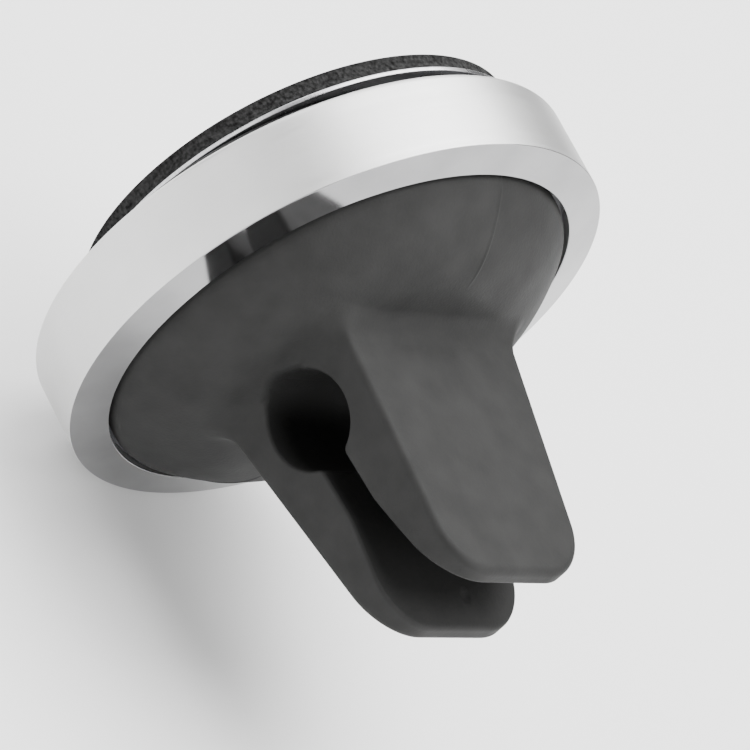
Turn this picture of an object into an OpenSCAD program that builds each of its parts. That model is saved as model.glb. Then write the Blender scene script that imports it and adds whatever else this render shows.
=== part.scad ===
// Magnetic car vent mount for a phone: a round magnet head in a turned ring, and a two-jaw rubber
// clip behind it that grips one blade of an air vent.
// +Y points rearward, from the phone into the vent, and +Z is up. The origin is the middle of the
// slot between the jaws, where the vent blade is held.

/* [Clip] */
// Width of the slot that takes the vent blade
slot_w = 2; // [1.2:0.1:3]
// Distance from the slot's middle forward to the axis of the keyhole
keyhole_back = 5.2; // [4.4:0.1:7]
// Diameter of the keyhole that lets the jaws flex
keyhole_d = 6.1; // [4.6:0.1:7.4]
// Thickness of the wall over and under the keyhole
flex_wall = 2.2; // [1.9:0.1:3]
// Distance from the slot's middle rearward to the jaw tips
jaw_reach = 8.3; // [7:0.1:12]
// Distance from the slot's middle to where the mouth starts to flare
flare_start = 1.2; // [0.5:0.1:2]
// Height of the open mouth between the jaw tips
mouth_h = 4.7; // [4:0.1:8]
// Thickness of each jaw's tip
tip_t = 1.3; // [0.4:0.1:2]
// Width across the clip at the keyhole
clip_w = 15.5; // [12:0.1:20]
// Width across the jaws where their tip corners begin
tip_w = 13.3; // [9:0.1:15]
// Radius of the jaws' tip corners
tip_corner_r = 3.4; // [2:0.1:4.4]
// Clear gap where a flexing jaw is parted from the fixed clip
flex_gap = 0.3; // [0.25:0.05:0.5]

/* [Clip core] */
// Thickness of the core's springy arms
arm_t = 1; // [0.8:0.05:1.2]
// Width of the core's neck and arms
core_w = 11.4; // [8:0.1:12]
// Distance from the jaw tips forward to the ends of the core's arms
arm_setback = 4.6; // [4:0.1:6]
// Rubber between the core's neck and the keyhole
neck_cover = 0.8; // [0.6:0.1:1.5]

/* [Head] */
// Outer diameter of the trim ring
ring_d = 36.1; // [30:0.1:44]
// Wall of the trim ring
ring_wall = 1.45; // [1.2:0.05:2]
// Rounding of the ring's front outer edge
ring_edge_r = 0.4; // [0.1:0.05:0.6]
// How far the ring's rear lip reaches inward from its bore
lip_reach = 0.95; // [0.6:0.05:1.2]
// Thickness of the rear lip at the ring's outer wall
lip_t = 0.4; // [0.3:0.05:0.8]
// Rise of the polished bezel from the outer wall to the lip's inner edge
bezel_rise = 0.53; // [0.3:0.01:0.8]
// Distance from the slot's middle forward to the ring's front edge
slot_to_front = 18.3; // [17.4:0.1:22]
// Shadow gap between the rear lip and the rubber dome
dome_gap = 0.25; // [0.15:0.05:0.4]
// Height of the dome above the ring's bezel
dome_rise = 3.9; // [3:0.1:4.2]
// Distance over which the dome's rim curves up to its flat top
dome_run = 6.9; // [5:0.1:8]
// Thickness of the rubber over the core's hub
rubber_t = 1.1; // [0.8:0.1:1.6]
// Thickness of the core's flange
flange_t = 1.2; // [1:0.1:2]

/* [Magnet stack] */
// Magnet diameter
magnet_d = 6; // [4.8:0.1:7.4]
// Magnet thickness
magnet_t = 3; // [2:0.1:3.2]
// Plastic between the magnet pockets and the edge of the cover's raised land
pocket_rim = 2.1; // [1.8:0.1:3]
// Thickness of the cover's face in front of the magnets
face_t = 1; // [0.8:0.05:1.4]
// Height of the cover's raised land above the ring's front edge
land_h = 1.15; // [0.8:0.05:1.6]
// Step from the ring's bore in to the cover's raised land
land_step = 1.7; // [1.4:0.1:3]
// How far the cover's rim sits below the ring's front edge
rim_setback = 0.1; // [0.05:0.05:0.4]
// Thickness of the steel yoke plate
yoke_t = 0.8; // [0.5:0.1:1.2]
// Thickness of the rubber front pad
pad_t = 0.6; // [0.4:0.1:1.2]
// Margin between the pad and the edge of the cover's land
pad_margin = 0.3; // [0.2:0.05:0.6]
// Thickness of the adhesive film under the pad
film_t = 0.1; // [0.05:0.05:0.2]

/* [Screws] */
// Screw shank diameter
screw_d = 2; // [1.6:0.1:2.4]
// Screw head diameter
screw_head_d = 3.5; // [3:0.1:4]
// Screw head height
screw_head_h = 1; // [0.8:0.1:1.1]
// Depth of the screws in the core, from the front of its flange
screw_bite = 1.6; // [1.2:0.1:1.8]
// Plastic between the screw heads and the edge of the cover's land
screw_rim = 0.9; // [0.5:0.05:1.2]

/* [Phone plate] */
// Diameter of the steel plate on the phone
plate_d = 30.3; // [24:0.1:40]
// Thickness of the steel plate
plate_t = 0.3; // [0.2:0.05:0.8]
// Diameter of the foam adhesive disc
foam_d = 29.3; // [20:0.1:38]
// Thickness of the foam adhesive disc
foam_t = 1.35; // [0.8:0.05:1.6]
// Sideways offset of the plate from the head's axis, as it was set down
plate_offset_x = -1; // [-3:0.1:3]
// Upward offset of the plate from the head's axis, as it was set down
plate_offset_z = 0.9; // [-3:0.1:3]

/* [Fits] */
// Radial clearance of the pieces that sit in the ring's bore
bore_fit = 0.1; // [0.05:0.05:0.2]
// Clearance round each magnet, and between the clamped pieces of the head
stack_fit = 0.05; // [0.02:0.01:0.1]
// Radial clearance of the screws and of their heads
screw_fit = 0.15; // [0.1:0.05:0.25]
// Gap between the phone plate and the front pad
seat_gap = 0.02; // [0.01:0.01:0.05]

/* [Hidden] */
$fn = 64;
MAGNETS = 6;
SCREWS = 3;
DOME_STEPS = 10;
CORNER_STEPS = 8;
FLARE_STEPS = 9;
// A power above one makes the mouth's flare start gently
FLARE_POWER = 1.15;
// Overshoot of cutting solids past the faces they cut
PAST = 1;
// Side of helper solids that are larger than the whole mount
VAST = 100;

// Radii of the head, from the ring inward
bore_r = ring_d / 2 - ring_wall;
seat_r = bore_r - bore_fit;
lip_r = bore_r - lip_reach;
dome_r = lip_r - dome_gap;
hub_r = dome_r - rubber_t;
land_r = bore_r - land_step;
pad_r = land_r - pad_margin;
magnet_circle_r = land_r - pocket_rim - magnet_d / 2;
yoke_r = magnet_circle_r + magnet_d / 2 + stack_fit;
screw_circle_r = land_r - screw_rim - screw_head_d / 2;

// Places along Y, from the phone to the vent
front_y = -slot_to_front;
cover_face_y = front_y - land_h;
pad_rear_y = cover_face_y - film_t;
pad_face_y = pad_rear_y - pad_t;
plate_rear_y = pad_face_y - seat_gap;
plate_front_y = plate_rear_y - plate_t;
phone_face_y = plate_front_y - foam_t;
pocket_y = cover_face_y + face_t;
magnet_y = pocket_y + stack_fit;
yoke_y = magnet_y + magnet_t + stack_fit;
cover_rear_y = yoke_y + yoke_t + stack_fit;
flange_rear_y = cover_rear_y + flange_t;
lip_front_y = flange_rear_y + stack_fit;
wall_rear_y = lip_front_y + lip_t;
bezel_y = wall_rear_y + bezel_rise;
dome_top_y = bezel_y + dome_rise;
screw_seat_y = cover_face_y + screw_head_h + 2 * screw_fit;
screw_tip_y = cover_rear_y + screw_bite;

// Places and sizes of the clip
keyhole_y = -keyhole_back;
keyhole_r = keyhole_d / 2;
tip_y = jaw_reach;
corner_y = tip_y - tip_corner_r;
root_y = bezel_y;
neck_end_y = keyhole_y - keyhole_r - neck_cover;
arm_end_y = tip_y - arm_setback;
skin_t = (flex_wall - arm_t) / 2;

// Half width of the clip at a place along Y
function half_w(y) = clip_w / 2 + (tip_w - clip_w) / 2 * (y - keyhole_y) / (corner_y - keyhole_y);
// Half height of the clip at a place along Y
function half_h(y) = let (h0 = keyhole_r + flex_wall, h1 = mouth_h / 2 + tip_t)
    h0 + (h1 - h0) * (y - keyhole_y) / (tip_y - keyhole_y);
// Half height of the open mouth, from the flare's start (t = 0) to the jaw tips (t = 1)
function mouth(t) = slot_w / 2 + (mouth_h - slot_w) / 2 * pow(t, FLARE_POWER);
// Height of the dome's surface at a share of the run in from its rim
function dome_y(t) = bezel_y + dome_rise * (1 - pow(1 - t, 2));

// Turns a solid made about Z so that it stands along +Y
module along_y() { rotate([-90, 0, 0]) children(); }
// A round solid about the Y axis from an outline of [radius, y] points
module turned(outline) { along_y() rotate_extrude() polygon(outline); }
// A solid of constant outline across the clip, from [y, z] points
module across(outline, width) {
    rotate([90, 0, 90]) translate([0, 0, -width / 2]) linear_extrude(width) polygon(outline);
}
// A round bar along Y between two places
module bar(r, y0, y1) { translate([0, y0, 0]) along_y() cylinder(r = r, h = y1 - y0); }
// Repeats a child round the Y axis, first at a given angle
module round_y(count, radius, first = 0) {
    for (i = [0 : count - 1]) rotate([0, first + i * 360 / count, 0]) translate([radius, 0, 0]) children();
}
// The upper half of space, above the slot's middle
module upper_half() { translate([-VAST / 2, -VAST / 2, 0]) cube([VAST, VAST, VAST / 2]); }

// Clip block before its slot is cut: its plan outline and its side outline in common
module clip_block(y0, y1) {
    intersection() {
        translate([0, 0, -VAST / 2]) linear_extrude(VAST) polygon(concat(
            [[-half_w(root_y), root_y], [half_w(root_y), root_y]],
            [for (i = [0 : CORNER_STEPS]) let (a = 90 * i / CORNER_STEPS)
                [tip_w / 2 - tip_corner_r * (1 - cos(a)), corner_y + tip_corner_r * sin(a)]],
            [for (i = [CORNER_STEPS : -1 : 0]) let (a = 90 * i / CORNER_STEPS)
                [-tip_w / 2 + tip_corner_r * (1 - cos(a)), corner_y + tip_corner_r * sin(a)]]));
        across([[y0, -half_h(y0)], [y1, -half_h(y1)], [y1, half_h(y1)], [y0, half_h(y0)]],
            2 * clip_w);
    }
}
// Keyhole, slot and flared mouth, as one cutter
module keyhole_and_slot() {
    translate([-clip_w, keyhole_y, 0]) rotate([0, 90, 0]) cylinder(r = keyhole_r, h = 2 * clip_w);
    across(concat(
        [[keyhole_y, -slot_w / 2]],
        [for (i = [0 : FLARE_STEPS]) let (t = i / FLARE_STEPS)
            [flare_start + (tip_y - flare_start) * t, -mouth(t)]],
        [[tip_y + PAST, -mouth_h / 2], [tip_y + PAST, mouth_h / 2]],
        [for (i = [FLARE_STEPS : -1 : 0]) let (t = i / FLARE_STEPS)
            [flare_start + (tip_y - flare_start) * t, mouth(t)]],
        [[keyhole_y, slot_w / 2]]), 2 * clip_w);
}
// Outline of one core arm between two places, a skin's depth inside the clip's upper face
module core_strip(y0, y1) {
    across([[y0, half_h(y0) - skin_t - arm_t], [y1, half_h(y1) - skin_t - arm_t],
        [y1, half_h(y1) - skin_t], [y0, half_h(y0) - skin_t]], core_w);
}
// The core's neck: a solid block behind the hub and the roots of both arms
module core_neck() {
    y1 = keyhole_y - flex_gap / 2;
    core_strip(flange_rear_y, y1);
    mirror([0, 0, 1]) core_strip(flange_rear_y, y1);
    h = half_h(flange_rear_y) - skin_t;
    across([[flange_rear_y, -h], [neck_end_y, -half_h(neck_end_y) + skin_t],
        [neck_end_y, half_h(neck_end_y) - skin_t], [flange_rear_y, h]], core_w);
}
// The dome of the core's hub, or of the rubber over it, from its rim radius and a drop
module dome(r, drop) {
    turned(concat([[0, flange_rear_y], [r, flange_rear_y]],
        [for (i = [0 : DOME_STEPS]) let (t = i / DOME_STEPS) [r - dome_run * t, dome_y(t) - drop]],
        [[0, dome_top_y - drop]]));
}
// One rubber jaw, the upper one, with the seat of its core arm
module jaw() {
    difference() {
        intersection() {
            clip_block(keyhole_y + flex_gap / 2, tip_y + PAST);
            upper_half();
        }
        keyhole_and_slot();
        core_strip(keyhole_y, arm_end_y);
    }
}
module core_arm() { core_strip(keyhole_y + flex_gap / 2, arm_end_y); }

// Steel disc that the magnets hold
module phone_plate() {
    color("silver") translate([plate_offset_x, 0, plate_offset_z])
        bar(plate_d / 2, plate_front_y, plate_rear_y);
}
// Foam adhesive disc between the steel plate and the phone
module plate_adhesive() {
    color([0.12, 0.12, 0.12]) translate([plate_offset_x, 0, plate_offset_z])
        bar(foam_d / 2, phone_face_y, plate_front_y);
}
// Grippy rubber disc on the front of the head
module front_pad() { color([0.1, 0.1, 0.1]) bar(pad_r, pad_face_y, pad_rear_y); }
// Double-sided film that bonds the pad to the cover
module pad_adhesive() { color("ivory") bar(pad_r - pad_margin, pad_rear_y, cover_face_y); }
// Plastic front of the head: raised land, magnet pockets, seat of the yoke and screw counterbores
module front_cover() {
    color([0.15, 0.15, 0.15]) difference() {
        turned([[0, cover_face_y], [land_r, cover_face_y], [land_r, front_y + rim_setback],
            [seat_r, front_y + rim_setback], [seat_r, cover_rear_y], [0, cover_rear_y]]);
        round_y(MAGNETS, magnet_circle_r, 180 / MAGNETS)
            bar(magnet_d / 2 + stack_fit, pocket_y, cover_rear_y + PAST);
        bar(yoke_r + stack_fit, yoke_y - stack_fit, cover_rear_y + PAST);
        round_y(SCREWS, screw_circle_r) {
            bar(screw_head_d / 2 + screw_fit, cover_face_y - PAST, screw_seat_y);
            bar(screw_d / 2 + screw_fit, cover_face_y, cover_rear_y + PAST);
        }
    }
}
// One disc magnet, counted round the head
module magnet(i) {
    color("gainsboro") rotate([0, (i - 0.5) * 360 / MAGNETS, 0]) translate([magnet_circle_r, 0, 0])
        bar(magnet_d / 2, magnet_y, magnet_y + magnet_t);
}
// Steel plate behind the magnets, notched for the screws
module yoke_plate() {
    color("dimgray") difference() {
        bar(yoke_r, yoke_y, yoke_y + yoke_t);
        round_y(SCREWS, screw_circle_r)
            bar(screw_d / 2 + 2 * screw_fit, yoke_y - PAST, yoke_y + yoke_t + PAST);
    }
}
// Three screws from the cover into the core, under the pad
module cover_screws() {
    color("gray") round_y(SCREWS, screw_circle_r) {
        bar(screw_d / 2, screw_seat_y - screw_head_h, screw_tip_y);
        bar(screw_head_d / 2, screw_seat_y - screw_head_h, screw_seat_y);
    }
}
// Turned aluminium ring with a polished bezel, clamped between cover and core
module trim_ring() {
    r = ring_d / 2;
    color("lightgray") turned([[bore_r, front_y], [r - ring_edge_r, front_y],
        [r - ring_edge_r * (1 - cos(45)), front_y + ring_edge_r * (1 - sin(45))],
        [r, front_y + ring_edge_r], [r, wall_rear_y],
        [lip_r, bezel_y], [lip_r, lip_front_y], [bore_r, lip_front_y]]);
}
// Plastic core: flange in the ring, hub under the dome, neck and roots of the arms
module clip_core() {
    color([0.25, 0.25, 0.27]) difference() {
        union() {
            bar(seat_r, cover_rear_y, flange_rear_y);
            dome(hub_r, rubber_t);
            core_neck();
        }
        round_y(SCREWS, screw_circle_r)
            bar(screw_d / 2 + stack_fit, cover_rear_y - PAST, screw_tip_y + screw_fit);
    }
}
// Rubber moulded over the core: the dome and the fixed part of the clip, round the keyhole's front
module rear_cover() {
    color([0.28, 0.28, 0.29]) difference() {
        union() {
            dome(dome_r, 0);
            clip_block(root_y, keyhole_y - flex_gap / 2);
        }
        dome(hub_r, rubber_t);
        core_neck();
        keyhole_and_slot();
    }
}
module upper_jaw() { color([0.32, 0.32, 0.33]) jaw(); }
module lower_jaw() { color([0.26, 0.26, 0.27]) mirror([0, 0, 1]) jaw(); }
module upper_core_arm() { color([0.5, 0.5, 0.52]) core_arm(); }
module lower_core_arm() { color([0.5, 0.5, 0.52]) mirror([0, 0, 1]) core_arm(); }

phone_plate();
plate_adhesive();
front_pad();
pad_adhesive();
front_cover();
for (i = [1 : MAGNETS]) magnet(i);
yoke_plate();
cover_screws();
trim_ring();
clip_core();
rear_cover();
upper_jaw();
lower_jaw();
upper_core_arm();
lower_core_arm();
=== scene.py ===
import math

import bmesh
import bpy
import numpy as np
from mathutils import Matrix, Vector


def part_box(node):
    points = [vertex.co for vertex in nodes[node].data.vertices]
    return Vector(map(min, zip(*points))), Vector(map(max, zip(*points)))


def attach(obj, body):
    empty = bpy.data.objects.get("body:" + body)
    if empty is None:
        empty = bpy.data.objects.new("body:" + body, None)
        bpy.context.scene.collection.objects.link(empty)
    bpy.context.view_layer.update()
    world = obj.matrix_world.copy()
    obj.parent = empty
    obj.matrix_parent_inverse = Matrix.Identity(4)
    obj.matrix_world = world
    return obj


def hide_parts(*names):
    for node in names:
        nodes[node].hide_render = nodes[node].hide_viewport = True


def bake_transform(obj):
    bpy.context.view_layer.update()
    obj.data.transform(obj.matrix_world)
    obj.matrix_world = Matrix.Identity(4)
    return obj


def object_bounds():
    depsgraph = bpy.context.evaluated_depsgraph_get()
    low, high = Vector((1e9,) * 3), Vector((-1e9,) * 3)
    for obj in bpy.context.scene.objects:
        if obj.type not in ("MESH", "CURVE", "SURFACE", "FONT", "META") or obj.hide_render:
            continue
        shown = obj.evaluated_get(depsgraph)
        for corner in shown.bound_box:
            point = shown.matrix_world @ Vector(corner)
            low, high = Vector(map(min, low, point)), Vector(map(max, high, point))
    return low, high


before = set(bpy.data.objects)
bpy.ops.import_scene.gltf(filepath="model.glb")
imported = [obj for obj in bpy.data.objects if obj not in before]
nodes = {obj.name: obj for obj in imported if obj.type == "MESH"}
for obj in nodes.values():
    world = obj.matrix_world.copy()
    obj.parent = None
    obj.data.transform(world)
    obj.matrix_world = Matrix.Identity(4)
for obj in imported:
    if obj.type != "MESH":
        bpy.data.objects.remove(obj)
cad_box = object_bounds()


# ---- Phone plate -------------------------------------------------------------------------------
# The thin steel disc that stays on the phone and that the magnets hold. It is blanked from
# sheet, so its edge is cut bright and square, and its faces keep the sheet's fine rolled grain.

MM = 0.001


def box_mm(node):
    """Lowest and highest corner of a CAD node, in millimetres."""
    low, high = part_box(node)
    return np.array(low) / MM, np.array(high) / MM


def round_corners(corners, steps=6, support=0.03):
    """Closed outline of (radius, y, rounding) corners. Each corner gives way to an arc that
    touches both its sides, with a point just past each end to keep the flats flat."""
    points = []
    for i, (radius, y, rounding) in enumerate(corners):
        here = np.array([radius, y], float)
        if rounding == 0:
            points.append(here[None])
            continue
        back = np.array(corners[i - 1][:2]) - here
        ahead = np.array(corners[(i + 1) % len(corners)][:2]) - here
        back /= np.linalg.norm(back)
        ahead /= np.linalg.norm(ahead)
        half = math.acos(np.clip(back @ ahead, -1, 1)) / 2
        reach = rounding / math.tan(half)
        middle = (back + ahead) / np.linalg.norm(back + ahead)
        centre = here + middle * rounding / math.sin(half)
        first = here + back * reach - centre
        last = here + ahead * reach - centre
        sweep = math.pi - 2 * half
        t = np.linspace(0, 1, steps + 1)[:, None]
        swung = np.sin((1 - t) * sweep) * first + np.sin(t * sweep) * last
        arc = centre + swung / math.sin(sweep)
        points.append(here + back[None] * (reach + support))
        points.append(arc)
        points.append(here + ahead[None] * (reach + support))
    return np.concatenate(points)


def mesh_object(name, points, faces, materials, sharp=35.0):
    """An object from points in millimetres and faces of four points, merged where points meet,
    facing outwards, smooth except over edges sharper than the given angle."""
    mesh = bpy.data.meshes.new(name)
    mesh.vertices.add(len(points))
    mesh.vertices.foreach_set("co", (points * MM).astype(np.float32).ravel())
    mesh.loops.add(faces.size)
    mesh.loops.foreach_set("vertex_index", faces.astype(np.int32).ravel())
    mesh.polygons.add(len(faces))
    mesh.polygons.foreach_set("loop_start", np.arange(0, faces.size, 4, dtype=np.int32))
    mesh.update(calc_edges=True)
    piece = bpy.data.objects.new(name, mesh)
    bpy.context.scene.collection.objects.link(piece)
    for material in materials:
        mesh.materials.append(material)
    tidy = bmesh.new()
    tidy.from_mesh(mesh)
    bmesh.ops.remove_doubles(tidy, verts=tidy.verts, dist=2e-7)
    bmesh.ops.dissolve_degenerate(tidy, dist=1e-8, edges=tidy.edges)
    bmesh.ops.recalc_face_normals(tidy, faces=tidy.faces)
    tidy.to_mesh(mesh)
    tidy.free()
    mesh.polygons.foreach_set("use_smooth", np.ones(len(mesh.polygons), bool))
    mesh.set_sharp_from_angle(angle=math.radians(sharp))
    return piece


def grid_faces(rows, columns, close_rows=False, close_columns=False):
    """Faces of four points over a grid, closed round on itself where asked."""
    i = np.arange(rows if close_rows else rows - 1)[:, None]
    j = np.arange(columns if close_columns else columns - 1)[None, :]
    i2, j2 = (i + 1) % rows, (j + 1) % columns
    corners = [i * columns + j, i * columns + j2, i2 * columns + j2, i2 * columns + j]
    return np.stack([np.broadcast_to(c, (i.size, j.size)) for c in corners], -1).reshape(-1, 4)


def lathe(name, outline, materials, centre=(0.0, 0.0), turns=240, sharp=35.0):
    """A solid of revolution: the outline of (radius, y) points is carried once round a line
    along Y through the centre (x, z)."""
    angle = np.linspace(0, 2 * np.pi, turns, endpoint=False)[:, None]
    radius, y = outline[None, :, 0], outline[None, :, 1]
    points = np.stack([centre[0] + radius * np.cos(angle), y + 0 * angle,
                       centre[1] + radius * np.sin(angle)], -1)
    faces = grid_faces(turns, len(outline), True, True)
    return mesh_object(name, points.reshape(-1, 3), faces, materials, sharp)


def finish_material(name, colour, roughness, metallic=0.0, specular=0.5):
    """A new material whose shader holds the plain values, ready for its patterns."""
    material = bpy.data.materials.new(name)
    material.use_nodes = True
    shader = material.node_tree.nodes["Principled BSDF"]
    shader.inputs["Base Color"].default_value = (*colour, 1)
    shader.inputs["Roughness"].default_value = roughness
    shader.inputs["Metallic"].default_value = metallic
    shader.inputs["Specular IOR Level"].default_value = specular
    return material


def node(material, kind, inputs=None, **settings):
    """Adds a node, sets it up, and feeds its inputs with values or with other nodes' outputs."""
    made = material.node_tree.nodes.new(kind)
    for key, value in settings.items():
        setattr(made, key, value)
    for key, value in (inputs or {}).items():
        if isinstance(value, bpy.types.NodeSocket):
            material.node_tree.links.new(value, made.inputs[key])
        else:
            made.inputs[key].default_value = value
    return made


def place_on(material, socket, value):
    """Feeds one input of the material's shader."""
    shader = material.node_tree.nodes["Principled BSDF"]
    material.node_tree.links.new(value, shader.inputs[socket])


def mottle(material, colours, scale, detail=6.0, stretch=(1, 1, 1)):
    """Colour that drifts between two shades in a cloudy pattern."""
    where = node(material, "ShaderNodeTexCoord").outputs["Object"]
    spread = node(material, "ShaderNodeMapping", {"Vector": where, "Scale": stretch})
    cloud = node(material, "ShaderNodeTexNoise",
                 {"Vector": spread.outputs["Vector"], "Scale": scale, "Detail": detail})
    ramp = node(material, "ShaderNodeValToRGB", {"Fac": cloud.outputs["Fac"]})
    ramp.color_ramp.elements[0].position = 0.3
    ramp.color_ramp.elements[1].position = 0.7
    ramp.color_ramp.elements[0].color = (*colours[0], 1)
    ramp.color_ramp.elements[1].color = (*colours[1], 1)
    place_on(material, "Base Color", ramp.outputs["Color"])
    return ramp


def vary_roughness(material, low, high, scale):
    """Roughness that drifts between two values, as handled surfaces do."""
    where = node(material, "ShaderNodeTexCoord").outputs["Object"]
    cloud = node(material, "ShaderNodeTexNoise", {"Vector": where, "Scale": scale, "Detail": 4.0})
    spread = node(material, "ShaderNodeMapRange",
                  {"Value": cloud.outputs["Fac"], "From Min": 0.3, "From Max": 0.7,
                   "To Min": low, "To Max": high})
    place_on(material, "Roughness", spread.outputs["Result"])


def grain(material, scale, depth, strength=1.0, detail=3.0):
    """Fine raised grain over the whole surface, its depth in metres."""
    where = node(material, "ShaderNodeTexCoord").outputs["Object"]
    noise = node(material, "ShaderNodeTexNoise",
                 {"Vector": where, "Scale": scale, "Detail": detail})
    bump = node(material, "ShaderNodeBump",
                {"Height": noise.outputs["Fac"], "Distance": depth, "Strength": strength})
    place_on(material, "Normal", bump.outputs["Normal"])
    return bump


rolled_steel = finish_material("rolled_steel", (0.48, 0.48, 0.49), 0.28, metallic=1.0)
mottle(rolled_steel, ((0.42, 0.42, 0.43), (0.54, 0.54, 0.55)), 900, stretch=(1, 1, 14))
vary_roughness(rolled_steel, 0.22, 0.36, 400)
grain(rolled_steel, 6000, 0.000004, 0.4)

plate_low, plate_high = box_mm("phone_plate")
plate_centre = ((plate_low[0] + plate_high[0]) / 2, (plate_low[2] + plate_high[2]) / 2)
plate_r = (plate_high[0] - plate_low[0]) / 2
plate = lathe("steel_phone_plate", round_corners([
    (0, plate_low[1], 0), (plate_r, plate_low[1], 0.08),
    (plate_r, plate_high[1], 0.06), (0, plate_high[1], 0)]), [rolled_steel], plate_centre)
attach(plate, "phone_plate")
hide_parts("phone_plate")


# ---- Foam adhesive -----------------------------------------------------------------------------
# The black foam disc that sticks the steel plate to the phone. It is punched from double-sided
# foam tape, so its cut edge is open-celled and pulls in a little between its two faces.

black_foam = finish_material("black_foam", (0.01, 0.01, 0.01), 0.95, specular=0.12)
mottle(black_foam, ((0.004, 0.004, 0.004), (0.034, 0.034, 0.034)), 3800, detail=3.0)
cells = node(black_foam, "ShaderNodeTexVoronoi",
             {"Vector": node(black_foam, "ShaderNodeTexCoord").outputs["Object"], "Scale": 3600.0})
pits = node(black_foam, "ShaderNodeBump",
            {"Height": cells.outputs["Distance"], "Distance": 0.0001, "Strength": 0.9})
place_on(black_foam, "Normal", pits.outputs["Normal"])

foam_low, foam_high = box_mm("plate_adhesive")
foam_r = (foam_high[0] - foam_low[0]) / 2
FOAM_WAIST = 0.12
foam_waist = np.linspace(0, np.pi, 13)[1:-1]
foam_edge = np.stack([foam_r - FOAM_WAIST * np.sin(foam_waist),
                      foam_low[1] + (foam_high[1] - foam_low[1]) * foam_waist / np.pi], -1)
foam = lathe("foam_adhesive_disc", np.concatenate([
    [(0, foam_low[1]), (foam_r - 0.05, foam_low[1]), (foam_r, foam_low[1] + 0.03)], foam_edge,
    [(foam_r, foam_high[1] - 0.03), (foam_r - 0.05, foam_high[1]), (0, foam_high[1])]]),
    [black_foam], plate_centre, sharp=50)
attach(foam, "phone_plate")
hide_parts("plate_adhesive")


# ---- Front pad ---------------------------------------------------------------------------------
# The soft rubber disc on the head's face that keeps the steel plate from slipping. It is
# die-cut from sheet with a fine matte face, and bonded in place with adhesive film.

pad_rubber = finish_material("pad_rubber", (0.028, 0.028, 0.029), 0.75, specular=0.35)
mottle(pad_rubber, ((0.022, 0.022, 0.023), (0.036, 0.036, 0.037)), 700)
grain(pad_rubber, 9000, 0.00002, 0.5)

pad_low, pad_high = box_mm("front_pad")
pad = lathe("rubber_front_pad", round_corners([
    (0, pad_low[1], 0), (pad_high[0], pad_low[1], 0.2),
    (pad_high[0], pad_high[1], 0.05), (0, pad_high[1], 0)]), [pad_rubber])
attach(pad, "head")
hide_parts("front_pad")

film = finish_material("adhesive_film", (0.75, 0.72, 0.6), 0.35)
mottle(film, ((0.7, 0.67, 0.55), (0.8, 0.78, 0.68)), 300)
nodes["pad_adhesive"].data.materials.clear()
nodes["pad_adhesive"].data.materials.append(film)


# ---- Trim ring ---------------------------------------------------------------------------------
# The ring round the head, turned from aluminium. Its wall is left with fine satin turning
# marks, and the bezel on its rear edge is diamond-cut to a mirror. Both metals are toned darker
# than bare aluminium, to read as metal among pale surroundings.


def turning_marks(material, pitch, depth, strength):
    """Fine grooves that run round the Y axis, as a lathe tool leaves them: noise that changes
    fast along Y and along the radius, and slowly round the circle."""
    where = node(material, "ShaderNodeTexCoord").outputs["Object"]
    part = node(material, "ShaderNodeSeparateXYZ", {"Vector": where})
    x, y, z = (part.outputs[axis] for axis in "XYZ")
    turn = node(material, "ShaderNodeMath", {0: z, 1: x}, operation="ARCTAN2").outputs[0]
    slow = node(material, "ShaderNodeMath", {0: turn, 1: 0.6}, operation="MULTIPLY").outputs[0]
    xx = node(material, "ShaderNodeMath", {0: x, 1: x}, operation="MULTIPLY").outputs[0]
    rr = node(material, "ShaderNodeMath", {0: z, 1: z, 2: xx}, operation="MULTIPLY_ADD").outputs[0]
    radius = node(material, "ShaderNodeMath", {0: rr}, operation="SQRT").outputs[0]
    rate = 1 / pitch
    along = node(material, "ShaderNodeMath", {0: y, 1: rate}, operation="MULTIPLY").outputs[0]
    out = node(material, "ShaderNodeMath", {0: radius, 1: rate}, operation="MULTIPLY").outputs[0]
    spot = node(material, "ShaderNodeCombineXYZ", {"X": slow, "Y": along, "Z": out})
    noise = node(material, "ShaderNodeTexNoise",
                 {"Vector": spot.outputs[0], "Scale": 1.0, "Detail": 3.0, "Roughness": 0.6})
    bump = node(material, "ShaderNodeBump",
                {"Height": noise.outputs["Fac"], "Distance": depth, "Strength": strength})
    place_on(material, "Normal", bump.outputs["Normal"])
    return noise


satin_aluminium = finish_material("satin_aluminium", (0.6, 0.6, 0.597), 0.42, metallic=1.0)
mottle(satin_aluminium, ((0.57, 0.57, 0.567), (0.64, 0.64, 0.637)), 160)
marks = turning_marks(satin_aluminium, 0.00006, 0.000002, 0.3)
wear = node(satin_aluminium, "ShaderNodeMapRange",
            {"Value": marks.outputs["Fac"], "From Min": 0.3, "From Max": 0.7,
             "To Min": 0.38, "To Max": 0.5})
place_on(satin_aluminium, "Roughness", wear.outputs["Result"])

mirror_aluminium = finish_material("mirror_aluminium", (0.3, 0.3, 0.303), 0.06, metallic=1.0)
mottle(mirror_aluminium, ((0.27, 0.27, 0.273), (0.33, 0.33, 0.333)), 240)
mirror_marks = turning_marks(mirror_aluminium, 0.00002, 0.0000004, 0.3)
shine = node(mirror_aluminium, "ShaderNodeMapRange",
             {"Value": mirror_marks.outputs["Fac"], "From Min": 0.3, "From Max": 0.7,
              "To Min": 0.04, "To Max": 0.09})
place_on(mirror_aluminium, "Roughness", shine.outputs["Result"])

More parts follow.
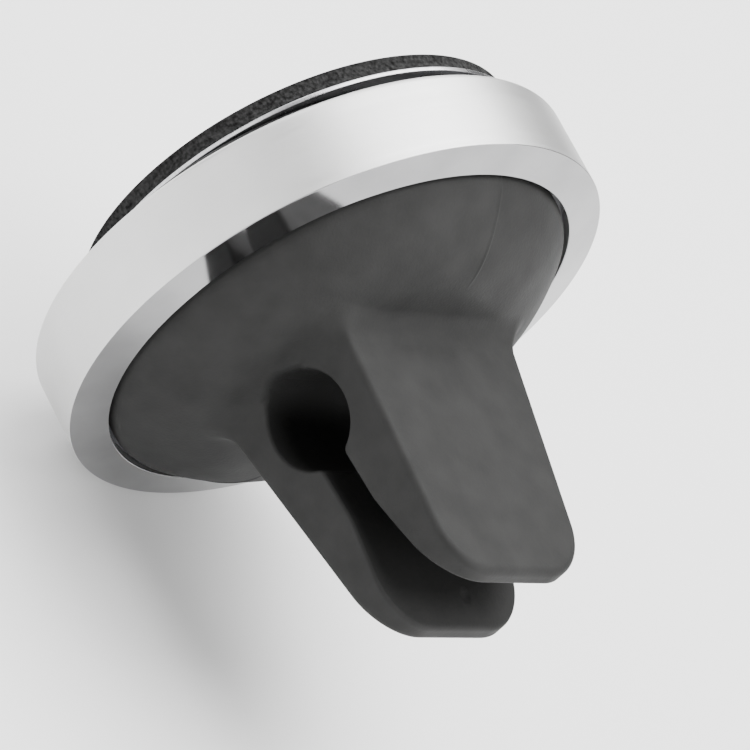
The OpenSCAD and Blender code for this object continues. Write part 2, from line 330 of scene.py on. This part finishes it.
ring_low, ring_high = box_mm("trim_ring")
RING_WALL = 1.45
BEZEL_RISE = 0.53
FRONT_R = 0.4
LIP_REACH = 0.95
LIP_DEPTH = 0.93
ring_r = ring_high[0]
ring_bore = ring_r - RING_WALL
lip_r = ring_bore - LIP_REACH
ring_outline = round_corners([
    (ring_bore, ring_low[1], 0.12), (ring_r, ring_low[1], FRONT_R),
    (ring_r, ring_high[1] - BEZEL_RISE, 0.05), (lip_r, ring_high[1], 0.06),
    (lip_r, ring_high[1] - LIP_DEPTH, 0.05), (ring_bore, ring_high[1] - LIP_DEPTH, 0.1)])
ring = lathe("aluminium_trim_ring", ring_outline, [satin_aluminium, mirror_aluminium], turns=360)
centres = np.empty(len(ring.data.polygons) * 3)
ring.data.polygons.foreach_get("center", centres)
centres = centres.reshape(-1, 3) / MM
facing = np.empty(len(ring.data.polygons) * 3)
ring.data.polygons.foreach_get("normal", facing)
on_bezel = (facing.reshape(-1, 3)[:, 1] > 0.6) & (centres[:, 1] > ring_high[1] - BEZEL_RISE - 0.1)
ring.data.polygons.foreach_set("material_index", on_bezel.astype(np.int32))
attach(ring, "head")
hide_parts("trim_ring")


# ---- Rubber clip and dome ----------------------------------------------------------------------
# The charcoal rubber moulded over the plastic core: a low dome inside the ring, and the clip
# that grows out of it, with a keyhole, a slot and two jaws. One moulding, made
# here as an upper and a lower half.

SLOT_W = 2.0
KEYHOLE_D = 6.1
KEYHOLE_Y = -5.2
FLEX_WALL = 2.2
CLIP_W, TIP_W = 15.5, 13.3
MOUTH_H, TIP_T = 4.7, 1.3
FLARE_START, FLARE_POWER = 1.2, 1.15
TIP_CORNER_R = 3.4
DOME_RISE, DOME_RUN = 3.9, 6.9
DOME_GAP = 0.25
EDGE_R = 0.5
RIM_R = 0.25
THROAT_R = 0.35
FOOT_R = 1.5
DOME_EDGE_R = 0.4
LINE_H, LINE_HALF_W, LINE_END_R = 0.06, 0.09, 9.5
PIN_X, PIN_Y, PIN_R, PIN_DEPTH = -1.3, 6.2, 0.35, 0.08

keyhole_r = KEYHOLE_D / 2
tip_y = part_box("upper_jaw")[1].y / MM
corner_y = tip_y - TIP_CORNER_R
dome_r = lip_r - DOME_GAP
bezel_y = ring_high[1]
rubber_front_y = box_mm("rear_cover")[0][1]
side_slope = (TIP_W - CLIP_W) / 2 / (corner_y - KEYHOLE_Y)
top_slope = (MOUTH_H / 2 + TIP_T - keyhole_r - FLEX_WALL) / (tip_y - KEYHOLE_Y)


def half_width(y):
    """Half width of the clip: a straight taper from the keyhole to the jaws' tip corners."""
    return CLIP_W / 2 + side_slope * (y - KEYHOLE_Y)


def half_height(y):
    """Half height of the clip: a straight taper from the keyhole to the tips."""
    return keyhole_r + FLEX_WALL + top_slope * (y - KEYHOLE_Y)


def mouth_half(y):
    """Half the gap between the jaws: straight in the slot, then a gentle power curve out."""
    t = np.clip((y - FLARE_START) / (tip_y - FLARE_START), 0, 1)
    return SLOT_W / 2 + (MOUTH_H - SLOT_W) / 2 * t ** FLARE_POWER


def dome_height(radius):
    """The dome's surface: a parabola that rises from its rim and levels off after the run."""
    t = np.clip((dome_r - radius) / DOME_RUN, 0, 1)
    return bezel_y + DOME_RISE * (1 - (1 - t) ** 2)


def shared(a, b, radius):
    """Distance to what two solids have in common, their outer edge rounded to a radius."""
    inner = np.minimum(np.maximum(a, b) + radius, 0)
    return inner + np.hypot(np.maximum(a + radius, 0), np.maximum(b + radius, 0)) - radius


def joined(a, b, radius):
    """Distance to two solids together, the corner between them filled to a radius."""
    return -shared(-a, -b, radius)


def opening(p, mark=0.0):
    """Distance from points to the wall of the keyhole, slot and mouth, negative inside them.
    An ejector pin leaves a shallow round mark inside one jaw."""
    y, z = p[..., 1], np.abs(p[..., 2])
    hole = np.hypot(y - KEYHOLE_Y, z) - keyhole_r
    pin = np.hypot(p[..., 0] - PIN_X, y - PIN_Y)
    dip = mark * PIN_DEPTH / (1 + np.exp((pin - PIN_R) / 0.05))
    slot = np.maximum(z - mouth_half(y) - dip, KEYHOLE_Y - y)
    return joined(hole, slot, THROAT_R)


def rubber(p, mark=0.0):
    """Distance from points to the moulding's surface, negative inside: the tapered block with
    rounded edges joined to the dome, less its opening. The mould leaves a fine raised line on
    the dome."""
    x, y, z = np.abs(p[..., 0]), p[..., 1], np.abs(p[..., 2])
    side = (x - half_width(y)) / math.hypot(1, side_slope)
    top = (z - half_height(y)) / math.hypot(1, top_slope)
    block = shared(shared(side, y - tip_y, TIP_CORNER_R), top, EDGE_R)
    radius = np.hypot(x, z)
    steep = 2 * DOME_RISE / DOME_RUN * (1 - np.clip((dome_r - radius) / DOME_RUN, 0, 1))
    dome = shared((y - dome_height(radius)) / np.hypot(1, steep), radius - dome_r, DOME_EDGE_R)
    fade = np.clip((radius - LINE_END_R) / 1.5, 0, 1)
    dome = dome - LINE_H * fade * np.exp(-(x / LINE_HALF_W) ** 2)
    body = joined(block, dome, FOOT_R)
    return shared(body, -opening(p, mark), RIM_R)


def settle(p, mark, rounds=8, h=0.004):
    """Moves points straight onto the moulding's surface, down the distance's own slope."""
    for _ in range(rounds):
        value = rubber(p, mark)
        slope = np.stack([rubber(p + h * axis, mark) - rubber(p - h * axis, mark)
                          for axis in np.eye(3)], -1)
        slope /= 2 * h
        step = value[..., None] * slope / np.maximum((slope ** 2).sum(-1, keepdims=True), 0.2)
        length = np.linalg.norm(step, axis=-1, keepdims=True)
        p = p - step * np.minimum(1, 0.3 / np.maximum(length, 1e-9))
    return p


def eased(count):
    """Shares from 0 to 1, closer together near both ends."""
    t = np.linspace(0, 1, count)
    return 0.45 * t + 0.55 * (1 - np.cos(np.pi * t)) / 2


SIDE_POINTS, TOP_POINTS, LINE_POINTS = 34, 116, 17


def outer_path(y, z_in):
    """Sharp-cornered half section of the clip over its top, from one side's lower edge to the
    other's, at a place along Y."""
    w, h = half_width(y), half_height(y)
    rise = z_in + (h - z_in) * eased(SIDE_POINTS)
    line = np.linspace(-2.4, 2.4, LINE_POINTS) * LINE_HALF_W
    plain = w - 2 * w * eased(TOP_POINTS - LINE_POINTS)[1:-1]
    over = np.sort(np.concatenate([plain, line * w / half_width(KEYHOLE_Y)]))[::-1]
    x = np.concatenate([np.full(SIDE_POINTS, w), over, np.full(SIDE_POINTS, -w)])
    z = np.concatenate([rise, np.full(TOP_POINTS - 2, h), rise[::-1]])
    return np.stack([x, np.full_like(x, y), z], -1)


PATH = 2 * SIDE_POINTS + TOP_POINTS - 2


def inner_path(y, z_in):
    """Straight line back across the clip's gap, at the same place along Y."""
    w = half_width(y)
    x = -w + 2 * w * eased(PATH)
    return np.stack([x, np.full_like(x, y), np.full_like(x, z_in)], -1)


# Rows of the clip: round the keyhole from its front, along the slot, and out to the tips
keyhole_turn = (np.pi - math.asin(SLOT_W / 2 / keyhole_r)) * np.linspace(0, 1, 64) ** 0.72
keyhole_rows = [(KEYHOLE_Y - keyhole_r * math.cos(a), keyhole_r * math.sin(a))
                for a in keyhole_turn]
slot_start = keyhole_rows[-1][0]
slot_rows = [(y, mouth_half(y)) for y in slot_start + (tip_y - slot_start) * eased(76)[1:]]
clip_outer = np.stack([outer_path(y, z) for y, z in keyhole_rows + slot_rows])
clip_inner = np.stack([inner_path(y, z) for y, z in keyhole_rows + slot_rows])

# Rows over the jaw's end face, where the outer and inner skins meet in the middle
shut = np.linspace(0, 0.5, 9)[1:, None, None]
end_outer = clip_outer[-1] + (clip_inner[-1][::-1] - clip_outer[-1]) * shut
end_inner = clip_inner[-1] + (clip_outer[-1][::-1] - clip_inner[-1]) * shut

# Rows of the dome, from the rim in to the clip's foot, and the rim's wall in front of them
foot = clip_outer[0]
bearing = np.arctan2(foot[:, 2], foot[:, 0])
rim = np.stack([dome_r * np.cos(bearing), 0 * bearing, dome_r * np.sin(bearing)], -1)
inward = eased(54)[:-1, None, None]
dome_rows = rim * (1 - inward) + foot * inward
dome_rows[..., 1] = dome_height(np.hypot(dome_rows[..., 0], dome_rows[..., 2]))
wall_y = rubber_front_y + (bezel_y - rubber_front_y) * np.linspace(0, 1, 7)[:-1]
wall_rows = np.broadcast_to(rim, (len(wall_y), *rim.shape)).copy()
wall_rows[..., 1] = wall_y[:, None]


def half_skin(mark):
    """Closed tube of points for one half: round the outside, then back along the inside, at
    each row from the front of the dome to the tips. Its first rows close the front, and the
    flat where the two halves of the moulding meet is left as it is."""
    outer = settle(np.concatenate([wall_rows[1:], dome_rows, clip_outer, end_outer]), mark)
    inner = settle(np.concatenate([clip_inner, end_inner]), mark)
    outer = np.concatenate([wall_rows[:1], outer])
    ends = outer[:len(outer) - len(inner), 0]
    across = np.linspace(-1, 1, PATH)[None, :]
    flat = np.stack([across * ends[:, :1], ends[:, 1:2] + 0 * across,
                     0 * across + 0 * ends[:, :1]], -1)
    inner = np.concatenate([flat, inner])
    front_outer = outer[0] + (inner[0][::-1] - outer[0]) * shut[::-1]
    front_inner = inner[0] + (outer[0][::-1] - inner[0]) * shut[::-1]
    return np.concatenate([np.concatenate([front_outer, outer]),
                           np.concatenate([front_inner, inner])], 1)


moulded_rubber = finish_material("moulded_rubber", (0.022, 0.022, 0.0217), 0.64, specular=0.12)
rubber_mottle = mottle(moulded_rubber, ((0.021, 0.021, 0.0207), (0.0275, 0.0275, 0.027)), 420, detail=9.0)
# Painted shade: the walls of the opening are painted darker, by how far each point is inside it,
# standing in for the shade that falls into the keyhole, slot and mouth
inside = node(moulded_rubber, "ShaderNodeAttribute", attribute_name="inside")
painted_shade_mix = node(moulded_rubber, "ShaderNodeMix", {0: inside.outputs["Fac"], 6: rubber_mottle.outputs["Color"],
             7: (0.014, 0.014, 0.0137, 1)}, data_type="RGBA")
place_on(moulded_rubber, "Base Color", painted_shade_mix.outputs[2])
vary_roughness(moulded_rubber, 0.58, 0.7, 260)
grain(moulded_rubber, 5200, 0.00003, 0.55)

for name, side in (("upper", 1), ("lower", -1)):
    skin = half_skin(0.0 if side > 0 else 1.0)
    points = skin.reshape(-1, 3) * np.array([1, 1, side])
    half = mesh_object(f"rubber_{name}_half", points,
                       grid_faces(skin.shape[0], skin.shape[1], False, True),
                       [moulded_rubber], sharp=60)
    places = np.empty(len(half.data.vertices) * 3)
    half.data.vertices.foreach_get("co", places)
    places = places.reshape(-1, 3) / MM
    # Painted shade in the opening, weaker towards the tips of the jaws, kept in the 'inside'
    # attribute
    painted_shade_depth = np.clip(1 - opening(places) / 0.2, 0, 1)
    painted_shade_depth *= 1 - 0.7 * np.clip((places[:, 1] - 2.5) / (tip_y - 3.5), 0, 1)
    half.data.attributes.new("inside", "FLOAT", "POINT").data.foreach_set("value", painted_shade_depth)
    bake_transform(half)
    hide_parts(f"{name}_jaw", *(["rear_cover"] if side > 0 else []))


# ---- Plastic, magnets and screws inside the head ------------------------------------------------
# The moulded front cover and core are glass-filled nylon with a fine spark-eroded texture. The
# magnets are nickel plated, and the yoke plate and the screws are zinc plated steel.

cover_plastic = finish_material("cover_plastic", (0.045, 0.045, 0.048), 0.55)
mottle(cover_plastic, ((0.04, 0.04, 0.043), (0.052, 0.052, 0.055)), 500)
grain(cover_plastic, 7000, 0.00002, 0.5)
core_plastic = finish_material("core_plastic", (0.09, 0.09, 0.1), 0.5)
mottle(core_plastic, ((0.08, 0.08, 0.09), (0.1, 0.1, 0.11)), 500)
grain(core_plastic, 5000, 0.00002, 0.4)
nickel = finish_material("nickel_plate", (0.72, 0.7, 0.66), 0.16, metallic=1.0)
mottle(nickel, ((0.68, 0.66, 0.62), (0.76, 0.74, 0.7)), 400)
vary_roughness(nickel, 0.1, 0.24, 500)
zinc = finish_material("zinc_plate", (0.5, 0.51, 0.53), 0.38, metallic=1.0)
mottle(zinc, ((0.44, 0.45, 0.47), (0.56, 0.57, 0.6)), 1500)
vary_roughness(zinc, 0.3, 0.5, 900)
finishes = {"front_cover": cover_plastic, "clip_core": core_plastic,
            "upper_core_arm": core_plastic, "lower_core_arm": core_plastic,
            "yoke_plate": zinc, "cover_screws": zinc}
finishes.update({f"magnet_{i}": nickel for i in range(1, 7)})
for name, material in finishes.items():
    nodes[name].data.materials.clear()
    nodes[name].data.materials.append(material)


# ---- Floor, lights and camera -------------------------------------------------------------------
# A pale floor under the mount, a large soft light in front, one above, and weaker ones behind
# and to the side. The camera is behind and above the clip, rolled so that the clip hangs down.

FLOOR_REACH = 4.0
FLOOR_DROP = 0.0002
floor_mesh = bpy.data.meshes.new("floor")
floor_z = cad_box[0].z - FLOOR_DROP
floor_mesh.from_pydata([(x * FLOOR_REACH, y * FLOOR_REACH, floor_z)
                        for x, y in ((-1, -1), (1, -1), (1, 1), (-1, 1))], [], [(0, 1, 2, 3)])
floor = bpy.data.objects.new("floor", floor_mesh)
bpy.context.scene.collection.objects.link(floor)
paper = finish_material("pale_paper", (0.86, 0.86, 0.86), 0.9, specular=0.1)
mottle(paper, ((0.855, 0.855, 0.855), (0.87, 0.87, 0.87)), 3)
floor_mesh.materials.append(paper)

world = bpy.data.worlds.new("studio")
bpy.context.scene.world = world
world.use_nodes = True
sky = node(world, "ShaderNodeSeparateXYZ",
           {"Vector": node(world, "ShaderNodeTexCoord").outputs["Generated"]})
glow = node(world, "ShaderNodeMapRange", {"Value": sky.outputs["Z"], "From Min": -0.1,
                                          "From Max": 0.8, "To Min": 0.05, "To Max": 0.36})
backdrop = world.node_tree.nodes["Background"]
world.node_tree.links.new(glow.outputs["Result"], backdrop.inputs["Strength"])
backdrop.inputs["Color"].default_value = (1, 1, 1, 1)


def soft_light(name, place, aim, size, power):
    """A square area light at a place, turned to face a point."""
    lamp = bpy.data.lights.new(name, "AREA")
    lamp.size = size
    lamp.energy = power
    light = bpy.data.objects.new(name, lamp)
    light.location = place
    light.rotation_euler = (Vector(aim) - Vector(place)).to_track_quat("-Z", "Y").to_euler()
    bpy.context.scene.collection.objects.link(light)


soft_light("key_light", (-0.1, -0.42, 0.36), (0, 0, 0), 0.7, 6.0)
soft_light("top_light", (-0.1, 0.0, 0.5), (0, 0, 0), 0.6, 8.0)
soft_light("rear_light", (-0.22, 0.42, 0.16), (0, 0, 0), 0.4, 3.0)
soft_light("side_light", (0.45, -0.2, 0.1), (0, 0, 0), 0.5, 2.0)

camera_data = bpy.data.cameras.new("camera")
camera_data.lens = 250.0
camera_data.clip_start, camera_data.clip_end = 0.01, 20.0
camera = bpy.data.objects.new("camera", camera_data)
camera.location = (0.2432, 0.1217, 0.1613)
CAMERA_AIM = Vector((-0.001, -0.009, 0.0))
CAMERA_TOP = Vector((0.0799, -0.7863, 0.6127))
away = (camera.location - CAMERA_AIM).normalized()
right = CAMERA_TOP.cross(away).normalized()
camera.rotation_euler = Matrix((right, away.cross(right), away)).transposed().to_euler()
bpy.context.scene.collection.objects.link(camera)
bpy.context.scene.camera = camera
